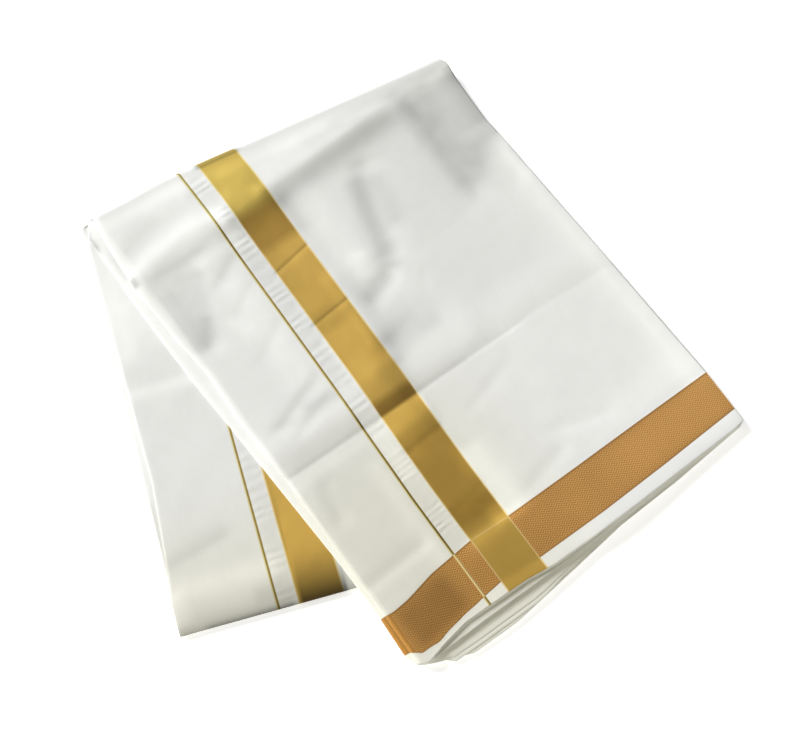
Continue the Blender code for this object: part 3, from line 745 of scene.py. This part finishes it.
# Unevenness: patches to the metre
TONE_SCALE = 34.0  # slow drift of the yarn's tone, 3 cm
SLUB_SCALE = (1100.0, 45.0, 1.0)  # slubs 1 mm wide and 2 cm long, along the length
WANDER_SCALE = 40.0
COME_AND_GO_SCALE = 70.0
DIMPLE_SCALE = 50.0  # soft dimples 2 cm wide
YARN_BASE, TONE_DEPTH, SLUB_DEPTH = 0.93, 0.08, 0.06  # shares of the light
CREAM_ALONG = (220 * MM, 350 * MM)  # from the cross fold: where the cream begins and where it is full
CREAM_ACROSS = (220 * MM, 80 * MM)  # the same across the strip


def chart(tree, position, start, stop, ends, marks):
    """Colours across a stretch of the weave: one at both of its ends, the others at given millimetres."""
    share = add_node(tree, "MapRange", {"Value": position, "From Min": start * MM, "From Max": stop * MM})
    ramp = add_node(tree, "ValToRGB", {"Fac": share})
    elements = ramp.color_ramp.elements
    for element in elements:
        element.color = linear(ends)
    for millimetres, colour in marks:
        elements.new((millimetres - start) / (stop - start)).color = linear(colour)
    return ramp


def stripes(tree, position, start, stop, *spans):
    """White stripes on black. Each is given by the millimetres where it sets in, is full, starts to end
    and has ended."""
    marks = [mark for span in spans for mark in zip(span, (BLACK, WHITE, WHITE, BLACK))]
    return chart(tree, position, start, stop, BLACK, marks)


def painted(tree, base, *coats):
    """Coats of colour, one over another. Each covers a share of what is under it."""
    for share, colour in coats:
        base = add_node(tree, "Mix", {"Factor": share, 6: base, 7: colour}, data_type="RGBA").outputs[2]
    return base


def wave(tree, position, pitch):
    """sin(2 pi position / pitch)"""
    turn = add_node(tree, "Math", {0: position, 1: 2 * math.pi / pitch}, operation="MULTIPLY")
    return add_node(tree, "Math", {0: turn}, operation="SINE")


def end_band_colour(tree, across, along, ribs):
    """The end band: ribs in two tones of zari, a rule along both edges. Round the left edge the ribs are
    seen too flat to tell apart, and their mean colour is used."""
    rib_share = add_node(tree, "MapRange",
                         {"Value": ribs, "From Min": RIB_TONES[0], "From Max": RIB_TONES[1]})
    on_fold = add_node(tree, "Math", {0: across, 1: ROUND_EDGE}, operation="LESS_THAN")
    rule = stripes(tree, along, *END_STRETCH, (403.6, 404.0, 405.0, 405.6), (441.6, 442.2, 443.0, 443.6))
    return painted(tree, linear(END_DARK), (rib_share, linear(END_LIGHT)), (on_fold, linear(END_ON_FOLD)),
                   (rule, linear(END_EDGE)))


def yarn_tone(tree, place):
    """Uneven yarn: base + depth * slow drift + depth * slubs, the share of light that the yarn gives."""
    drift = add_node(tree, "TexNoise",
                     {"Vector": place, "Scale": TONE_SCALE, "Detail": 3.0, "Roughness": 0.55})
    stretched = add_node(tree, "Mapping", {"Vector": place, "Scale": SLUB_SCALE})
    slubs = add_node(tree, "TexNoise", {"Vector": stretched, "Scale": 1.0, "Detail": 2.0})
    drifted = add_node(tree, "Math", {0: drift, 1: TONE_DEPTH, 2: YARN_BASE}, operation="MULTIPLY_ADD")
    return add_node(tree, "Math", {0: slubs, 1: SLUB_DEPTH, 2: drifted}, operation="MULTIPLY_ADD")


def gold_painted_shade(tree, along, gold):
    """Painted shade on the gold: it is darkened in a few stretches of its length, most of all in the second
    crease, standing in for its sheen turning away from the light. Over the cross fold it is a cooler yellow."""
    gold_shade_chart = chart(tree, along, -20, 440, WHITE, (
        (-5, LEMON), (71, LEMON), (79, GOLD_SHADE), (106, GOLD_SHADE), (117, WHITE), (268, WHITE), (275, GOLD_DEEP_SHADE),
        (282, GOLD_DEEP_SHADE), (285, WHITE), (300, WHITE), (316, GOLD_HALF_SHADE), (372, GOLD_HALF_SHADE), (380, GOLD_SHADE),
        (390, GOLD_SHADE), (402, WHITE)))
    return painted(tree, linear(WHITE), (gold, gold_shade_chart))


def painted_shade_share(tree, across, along):
    """Painted shade: the border side is made a little darker and creamier towards the ends of the folded
    length.
    """
    from_fold = add_node(tree, "Math", {0: along}, operation="ABSOLUTE")
    shares = []
    for position, (begins, full) in ((from_fold, CREAM_ALONG), (across, CREAM_ACROSS)):
        shares.append(add_node(tree, "MapRange", {"Value": position, "From Min": begins, "From Max": full},
                               interpolation_type="SMOOTHSTEP"))
    return add_node(tree, "Math", {0: shares[0], 1: shares[1]}, operation="MULTIPLY")


def puckers(tree, place, across, along):
    """The plain strip between the line and the band puckers unevenly, because the zari beside it draws up
    less than the cotton does. The puckers wander, come and go, and stop at the end band."""
    uneven = add_node(tree, "TexNoise", {"W": along, "Scale": WANDER_SCALE, "Detail": 0.0},
                      noise_dimensions="1D")
    wander = add_node(tree, "Math", {0: uneven, 1: PUCKER_WANDER, 2: along}, operation="MULTIPLY_ADD")
    plain_strip = stripes(tree, across, *BORDER_STRETCH, (69, 73, 84, 87))
    clear_of_end = add_node(tree, "Math", {0: along, 1: BAND_INNER * MM}, operation="LESS_THAN")
    come_and_go = add_node(tree, "TexNoise", {"Vector": place, "Scale": COME_AND_GO_SCALE})
    strong = add_node(tree, "MapRange", {"Value": come_and_go, "From Min": 0.35, "From Max": 0.65,
                                         "To Min": PUCKER_STRENGTH[0], "To Max": PUCKER_STRENGTH[1]})
    form = wave(tree, wander, PUCKER)
    for share in (plain_strip, clear_of_end, strong):
        form = add_node(tree, "Math", {0: form, 1: share}, operation="MULTIPLY")
    return form


def woven_cotton():
    """Bleached mercerised cotton, plain woven, with gold zari (metal-wrapped thread) woven in as a thin
    line, a band and a herringbone end band. The cotton is matt with a soft sheen, and the zari shines like
    satin."""
    material = bpy.data.materials.new("plain woven cotton with zari borders")
    material.use_nodes = True
    tree = material.node_tree
    surface = tree.nodes["Principled BSDF"]
    place = add_node(tree, "UVMap", uv_map="weave")
    axes = add_node(tree, "SeparateXYZ", {"Vector": place})
    across, along = axes.outputs["X"], axes.outputs["Y"]

    # The line and the band run the whole length. The gold of the band covers the end band, whose inner edge
    # shows faintly through it, and the line crosses the end band in pale gold.
    border = chart(tree, across, *BORDER_STRETCH, COTTON, (
        (68.3, COTTON), (68.6, LINE_EDGE), (69.3, LINE_EDGE), (69.6, LINE_GOLD), (70.9, LINE_GOLD),
        (71.2, COTTON), (86.4, COTTON), (86.8, EDGE_GOLD), (87.5, EDGE_GOLD), (88.0, BAND_GOLD),
        (121.0, BAND_GOLD), (121.5, EDGE_GOLD), (122.3, EDGE_GOLD), (122.7, COTTON)))
    gold = stripes(tree, across, *BORDER_STRETCH, (69.3, 69.6, 70.9, 71.2), (86.6, 87.6, 121.2, 122.5))
    thin_line = stripes(tree, across, *BORDER_STRETCH, (69.1, 69.5, 70.3, 70.7))
    end_band = stripes(tree, along, *END_STRETCH, (403.6, 404.2, 442.8, 443.4))
    inner_edge = stripes(tree, along, *END_STRETCH, (403.4, 404.0, 404.6, 405.2))
    zigzag = add_node(tree, "Math", {0: across, 1: RIB_TURN / 2}, operation="PINGPONG")
    ribs = wave(tree, add_node(tree, "Math", {0: zigzag, 1: along}, operation="ADD"), RIB)
    not_gold = add_node(tree, "Math", {0: 1.0, 1: gold}, operation="SUBTRACT")
    end_share = add_node(tree, "Math", {0: end_band, 1: not_gold}, operation="MULTIPLY")
    line_in_band = add_node(tree, "Math", {0: thin_line, 1: end_band}, operation="MULTIPLY")
    edge_in_gold = add_node(tree, "Math", {0: inner_edge, 1: gold}, operation="MULTIPLY")
    faint_edge = add_node(tree, "Math", {0: edge_in_gold, 1: SHOWS_THROUGH}, operation="MULTIPLY")
    colour = painted(tree, border, (end_share, end_band_colour(tree, across, along, ribs)),
                     (line_in_band, linear(EDGE_GOLD)), (faint_edge, linear(EDGE_GOLD)))

    # The yarn's tone, the gold's painted shade, the painted light and shade of the patches and the painted
    # cream
    #     shade are multiplied in.
    for tint in (yarn_tone(tree, place), gold_painted_shade(tree, along, gold)):
        colour = add_node(tree, "Mix", {"Factor": 1.0, 6: colour, 7: tint}, data_type="RGBA",
                          blend_type="MULTIPLY").outputs[2]
    patches = add_node(tree, "Attribute", attribute_name="shade").outputs["Fac"]
    patched = add_node(tree, "VectorMath", {"Vector": colour, "Scale": patches}, operation="SCALE")
    painted_shade = painted_shade_share(tree, across, along)
    creamed = add_node(tree, "Mix", {"Factor": painted_shade, 6: patched, 7: linear(CREAM)}, data_type="RGBA",
                       blend_type="MULTIPLY")

    # Zari shines, cotton doesn't.
    shining = add_node(tree, "Math", {0: gold, 1: end_share}, operation="MAXIMUM")
    zari = add_node(tree, "Math", {0: shining, 1: line_in_band}, operation="SUBTRACT", use_clamp=True)
    metal = add_node(tree, "Math", {0: zari, 1: ZARI_METAL}, operation="MULTIPLY")
    roughness = add_node(tree, "MapRange",
                         {"Value": zari, "To Min": COTTON_ROUGHNESS, "To Max": ZARI_ROUGHNESS})

    # The relief, in mm: threads over and under, the ribs of the end band, the puckers, and soft dimples,
    # because limp cotton is never quite flat.
    threads = add_node(tree, "Math", {0: wave(tree, across, THREAD), 1: wave(tree, along, THREAD)},
                       operation="MULTIPLY")
    end_ribs = add_node(tree, "Math", {0: ribs, 1: end_share}, operation="MULTIPLY")
    dimples = add_node(tree, "TexNoise", {"Vector": place, "Scale": DIMPLE_SCALE, "Detail": 1.0})
    height = 0.0
    for form, most in ((threads, THREAD_HEIGHT), (end_ribs, RIB_HEIGHT),
                       (puckers(tree, place, across, along), PUCKER_HEIGHT), (dimples, DIMPLE_HEIGHT)):
        height = add_node(tree, "Math", {0: form, 1: most, 2: height}, operation="MULTIPLY_ADD")
    relief = add_node(tree, "Bump", {"Height": height, "Strength": 1.0, "Distance": MM})

    tree.links.new(creamed.outputs[2], surface.inputs["Base Color"])
    tree.links.new(metal.outputs[0], surface.inputs["Metallic"])
    tree.links.new(roughness.outputs["Result"], surface.inputs["Roughness"])
    tree.links.new(relief.outputs["Normal"], surface.inputs["Normal"])
    surface.inputs["Specular IOR Level"].default_value = 0.3
    surface.inputs["Sheen Weight"].default_value = 0.12
    surface.inputs["Sheen Roughness"].default_value = 0.5
    return material


def upper_leaf_shell():
    """The outer ply: row lines of the strip by stations of its wrapped section, laid round the fold."""
    lines = row_lines(UNDER_RUN, UNDER_ROWS)
    v_left = with_hem_rows(lines)
    boundary, tip = read_table(LEFT_EDGE, v_left, 2), read_table(LEFT_EDGE, v_left, 3)
    edges = (boundary, tip, read_table(RIGHT_EDGE, v_left, 2))
    faces = wrapped_grid(v_left, edges, FIRST_ROLL, PLY, filled(COLUMNS)[:, 0], RETURN_COLUMNS)
    grids = []
    for u, depth in faces:
        end = np.where(depth[-1] > MM, hem_v(u[-1], 1), hem_v(u[-1], 0))
        grids.append((u, rows_to_hem(lines, u, end), depth))
    outer, inner = (lay(u, v, OUTER_RADIUS - depth, 1.0 - UNDER_SMOOTH * depth / FIRST_ROLL)
                    for u, v, depth in grids)
    u, v, depth = grids[0]
    weave = weave_place(u, v, depth, boundary[:, None], hem_v(u, 0))
    return cloth_shell(outer, inner, weave, 1.0 + soft_lines(SHADES, u, v))


cotton_with_zari = woven_cotton()
upper_leaf_cloth = joined_mesh("upper_leaf_cloth", [upper_leaf_shell()], cotton_with_zari)
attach(upper_leaf_cloth, "root")
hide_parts("upper_leaf_sheet")


# ---- lower_leaf_cloth ------------------------------------------------------------------------------------
# The ply that shows on the lower leaf: the same cloth, coming out from inside the cross fold, running to
# the end fold, and round it a short way back along the table to meet the outer ply's underside.

LOWER_ROLL = 1.2 * MM  # height of its rolled left edge
LOWER_TIP = 2.5 * MM  # the roll stands out this far past the top face
LOWER_RETURN = (12, 60, 170, 315)  # u of the stations of the folded-under ply (mm)
SHEET_BEGIN = 12 * MM  # it starts this far inside the cross fold
SEAM_GAP = 0.3 * MM  # it stops this far short of the outer ply's underside
LOWER_ROWS = 90  # row lines on the leaf
LOWER_SPREAD = 0.9  # below 1 they lie a little closer together towards the end fold

# The border lies a little to the left on this leaf (mm): name, u, by how much
LOWER_DRIFT = (
    ("left part", 20, 0.0),
    ("left of the line", 40, 0.9),
    ("right of the line", 72, 0.9),
    ("gold band", 80, 2.1),
)

# Its painted light and painted shade, as on the upper leaf, with the distance from the fold line for v
LOWER_SHADES = (
    ("end fold", -10, 357, 330, 362, 0, 13, 8, 5, -0.34, 1.4),
    ("gold above the end fold", 88, 310, 122, 312, 0, 40, 20, 1.5, 0.22, 2.6),
    ("border above the end fold", 58, 343, 82, 344, 0, 8, 7, 5, -0.11, 2.2),
    ("gold at the end fold", 88, 358, 122, 360, 0, 24, 8, 1.5, -0.52, 1.6),
    ("gap beside the gold", 79, 170, 79, 360, 0, 7, 7, 4, -0.05, 4.0),
    ("handled end", -4, 301, 40, 290, 0, 9, 4, 9, -0.13, 1.8),
    ("above the end fold", -4, 321, 72, 324, 0, 9, 9, 8, 0.12, 2.2),
    ("edge of the end fold", 16, 357, 78, 358.3, 0, 4, 8, 4, -0.38, 2.0),
    ("bright upper left part", 2, 36, 4, 124, 0, 12, 8, 12, 0.15, 2.5),
    ("bright beside the roll", 17, 82, 27, 120, 0, 9, 8, 7, 0.07, 2.4),
    ("soft ridge", -4, 160, 46, 160, 0, 5, 6, 8, 0.13, 2.0),
    ("rolled edge near the end", -5, 326, -5, 345, 0, 5, 4, 5, 0.15, 2.2),
    ("bright upper part", -10, 84, 30, 84, 0, 34, 34, 12, 0.08, 2.4),
)


def lower_lines():
    """Row lines of the lower ply, one row each: share of the slant at its start (1 there, 0 at the end
    fold), run of the end fold, and turn round it."""
    level = np.linspace(0.0, 1.0, LOWER_ROWS) ** LOWER_SPREAD
    rows = [(1.0 - step, END_ROLL, 0.0) for step in level]
    rows += [(0.0, END_ROLL, turn) for turn in np.radians(np.linspace(7.5, 90.0, 12))]
    rows += [(0.0, END_ROLL_UNDER, turn) for turn in np.radians(np.linspace(100.0, 180.0, 9))]
    return np.array(rows)


def lower_leaf_shell():
    """The lower ply. Round the end fold: short of the end = run - (run - depth) sin(turn), z = middle +
    (middle - depth) cos(turn), with a longer run above than below."""
    slanted, run, turn = lower_lines().T[:, :, None]
    v_left = -np.minimum(SHEET_BEGIN * slanted + LOWER_LENGTH * (1.0 - slanted), LOWER_LENGTH)[:, 0]
    boundary = read_table(LEFT_EDGE, v_left, 2)
    edges = (boundary, boundary - LOWER_TIP, np.full(v_left.shape, STRIP_WIDTH))
    faces = wrapped_grid(v_left, edges, LOWER_ROLL, PLY, filled(COLUMNS)[:, 0], LOWER_RETURN)
    grids = []
    for u, depth in faces:
        begin = SHEET_BEGIN / math.cos(FOLD_SKEW) - u * math.tan(FOLD_SKEW)
        short = run - (run - depth) * np.sin(turn)
        w = begin * slanted + (read_table(END_FOLD, u, 2) - short) * (1.0 - slanted)
        z = LOWER_MIDDLE + (LOWER_MIDDLE - depth) * np.cos(turn)
        w = np.concatenate([w, np.full(u[-1:].shape, UNDER_RUN + SEAM_GAP)])
        z = np.concatenate([z, z[-1:]])
        u = np.concatenate([u, u[-1:]])
        p = LOWER_SHIFT + u * math.cos(FOLD_SKEW) - w * math.sin(FOLD_SKEW)
        q = u * math.sin(FOLD_SKEW) + w * math.cos(FOLD_SKEW)
        grids.append((u, w, place_in_plan(p, corner_pulled(u, q), z)))
    (u, w, outer), (_, _, inner) = grids
    weave = np.stack([u + read_table(LOWER_DRIFT, u, 2), -w], -1)
    return cloth_shell(outer, inner, weave, 1.0 + soft_lines(LOWER_SHADES, u, w))


lower_leaf_cloth = joined_mesh("lower_leaf_cloth", [lower_leaf_shell()], cotton_with_zari)
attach(lower_leaf_cloth, "root")
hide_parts("lower_leaf_sheet")


# ---- folded_plies ----------------------------------------------------------------------------------------
# The plies between, of the same cotton, seen only at the edges: two flat ones inside the first roll, and
# below them a second rolled ply with two flat ones inside it. The lower they lie, the further they stand
# out past the hem.

SECOND_TOP = 3.4 * MM  # radius of the second roll's top face
SECOND_ROLL = 2.5 * MM  # its height
SECOND_PLY = 0.9 * PLY  # pressed a little thinner
SECOND_LEVELS = (1.7, 3.0)  # levels of its cut ends, above and folded under
SECOND_WIDTH = 12 * MM  # its roll begins no further than this inside its own tip
SECOND_PAST = 4 * MM  # and no further than this inside the first roll's tip
SECOND_RIGHT = 1.0 * MM  # it stops this far inside the right edge
SECOND_RETURN = (12, 40, 80, 130, 190, 250, 315)  # u of the stations of its folded-under part (mm)
HEM_DROOP = 0.55  # plies that stand out past the hem sink by this share of their height
END_STOP = 6 * MM  # the plies stop this far inside the end fold
EDGE_ZONE = 12 * MM  # the plies lie loose this near an edge
PRESSED = 0.07  # and are pressed together by this share inside
FLAT_LEFT = 9 * MM  # a flat ply starts no further in than this
FLAT_RIGHT = 4 * MM  # and stops this far inside the right edge
PLY_UNDER_ROWS = 40  # row lines on the lower leaf
THINNED = 3  # on the upper leaf every third row line of the outer ply is kept
NEAR_HEM = 12  # and this many of the last ones
PLY_LIGHT = 1.12  # painted light: the plies inside are made this much brighter than the outer ply

# Flat plies: name, radius of its top face (mm), level of its cut end, u set in from the roll's tip (mm)
FLAT_PLIES = (
    ("first roll, upper", 5.55, 0.35, 11.0),
    ("first roll, lower", 4.75, 0.70, 9.0),
    ("second roll, upper", 2.75, 2.30, 9.0),
    ("second roll, lower", 2.10, 2.70, 8.0),
)

# Painted light and painted shade on the rolled edges of both leaves, as on the upper leaf
ROLL_SHADES = (
    ("opening at the cross fold", -21.0, 7, -19.8, 23, 0, 2.2, 2.2, 3, -0.5, 2.0),
    ("groove between the rolls", -14.5, 34, -14.0, 60, 0, 2.2, 2.2, 5, -0.16, 2.0),
    ("groove between the rolls, lower", -11.0, 100, -10.0, 118, 0, 2.2, 2.2, 5, -0.12, 2.0),
    ("lower leaf's rolled edge", -4, -222, -4, -30, 0, 6, 7, 10, 0.08, 4.0),
    ("lower leaf's rolled edge, in shade", -7, -313, -7, -268, 0, 5, 5, 9, -0.2, 2.4),
)


def ply_lines():
    """Row lines for the hidden plies: the outer ply's, thinned out, and on to the end fold."""
    lines = row_lines(LOWER_LENGTH - END_STOP, PLY_UNDER_ROWS)
    below, upper = np.split(lines, [PLY_UNDER_ROWS + TURN_ROWS])
    number = np.arange(len(upper))
    return np.concatenate([below, upper[(number % THINNED == 0) | (number >= len(upper) - NEAR_HEM)]])


def sunk(radius, v, top_end, own_end):
    """Radius of a ply that sinks towards the table past the top face's cut end."""
    past = ease((v - top_end) / np.maximum(own_end - top_end, 2 * MM))
    return INNER_RADIUS + (radius - INNER_RADIUS) * (1.0 - HEM_DROOP * past)


def follows(radius):
    """Share of the creases that a ply at this radius follows."""
    return np.clip((radius - INNER_RADIUS) / (OUTER_RADIUS - INNER_RADIUS), 0.0, 1.0)


def flat_ply(radius, level, inset):
    """A flat ply, closed, as wide as the strip, with its left edge inside its roll."""
    lines = ply_lines()
    v_left = with_hem_rows(lines)
    tip_column = 3 if radius > SECOND_TOP else 4
    left = np.minimum(read_table(LEFT_EDGE, v_left, tip_column) + inset, FLAT_LEFT)
    right = read_table(RIGHT_EDGE, v_left, 2) - FLAT_RIGHT
    across = np.concatenate([np.linspace(0.0, 0.12, 8), np.linspace(0.15, 0.92, 26),
                             np.linspace(0.94, 1.0, 4)])
    u = left[:, None] + (right - left)[:, None] * across
    v = rows_to_hem(lines, u, hem_v(u[-1], level))
    top_end, own_end = hem_v(u, 0), hem_v(u, level)
    hidden = ease((u - left[:, None]) / EDGE_ZONE - 1.0) * ease((top_end - v) / EDGE_ZONE - 1.0)
    grids = []
    for depth in (0.0, PLY):
        at = sunk(radius - depth, v, top_end, own_end) * (1.0 - PRESSED * hidden)
        grids.append(lay(u, v, at, follows(at)))
    weave = np.stack([np.full(u.shape, -1.0), v - 1.0], -1)  # a metre away from the borders
    return cloth_shell(*grids, weave, PLY_LIGHT + soft_lines(ROLL_SHADES, u, v))


def second_roll():
    """The second rolled ply: across on top, rolled under at the left, and back to the right edge."""
    lines = ply_lines()
    v_left = with_hem_rows(lines)
    tip = read_table(LEFT_EDGE, v_left, 4)
    boundary = np.minimum(read_table(LEFT_EDGE, v_left, 3) + SECOND_PAST, tip + SECOND_WIDTH)
    right = read_table(RIGHT_EDGE, v_left, 2) - SECOND_RIGHT
    columns = np.concatenate([np.linspace(10, 64, 10), np.linspace(72, 296, 24), [303, 309]]) * MM
    faces = wrapped_grid(v_left, (boundary, tip, right), SECOND_ROLL, SECOND_PLY, columns, SECOND_RETURN)
    upper_level, under_level = SECOND_LEVELS
    grids = []
    for u, depth in faces:
        end = np.where(depth[-1] > MM, hem_v(u[-1], under_level), hem_v(u[-1], upper_level))
        v = rows_to_hem(lines, u, end)
        radius = sunk(SECOND_TOP - depth, v, hem_v(u, 0), end[None, :])
        grids.append((u, v, depth, lay(u, v, radius, follows(radius))))
    (u, v, depth, outer), (_, _, _, inner) = grids
    weave = weave_place(u, v, depth, boundary[:, None], hem_v(u, upper_level))
    weave[..., 0] = -np.abs(weave[..., 0]) - PLAIN_SIDE  # no gold line or band shows on this ply
    return cloth_shell(outer, inner, weave, PLY_LIGHT + soft_lines(ROLL_SHADES, u, v))


plies = [flat_ply(radius * MM, level, inset * MM) for _, radius, level, inset in FLAT_PLIES]
plies.append(second_roll())
folded_plies = joined_mesh("folded_plies", plies, cotton_with_zari)
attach(folded_plies, "root")
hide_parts("hidden_layers")
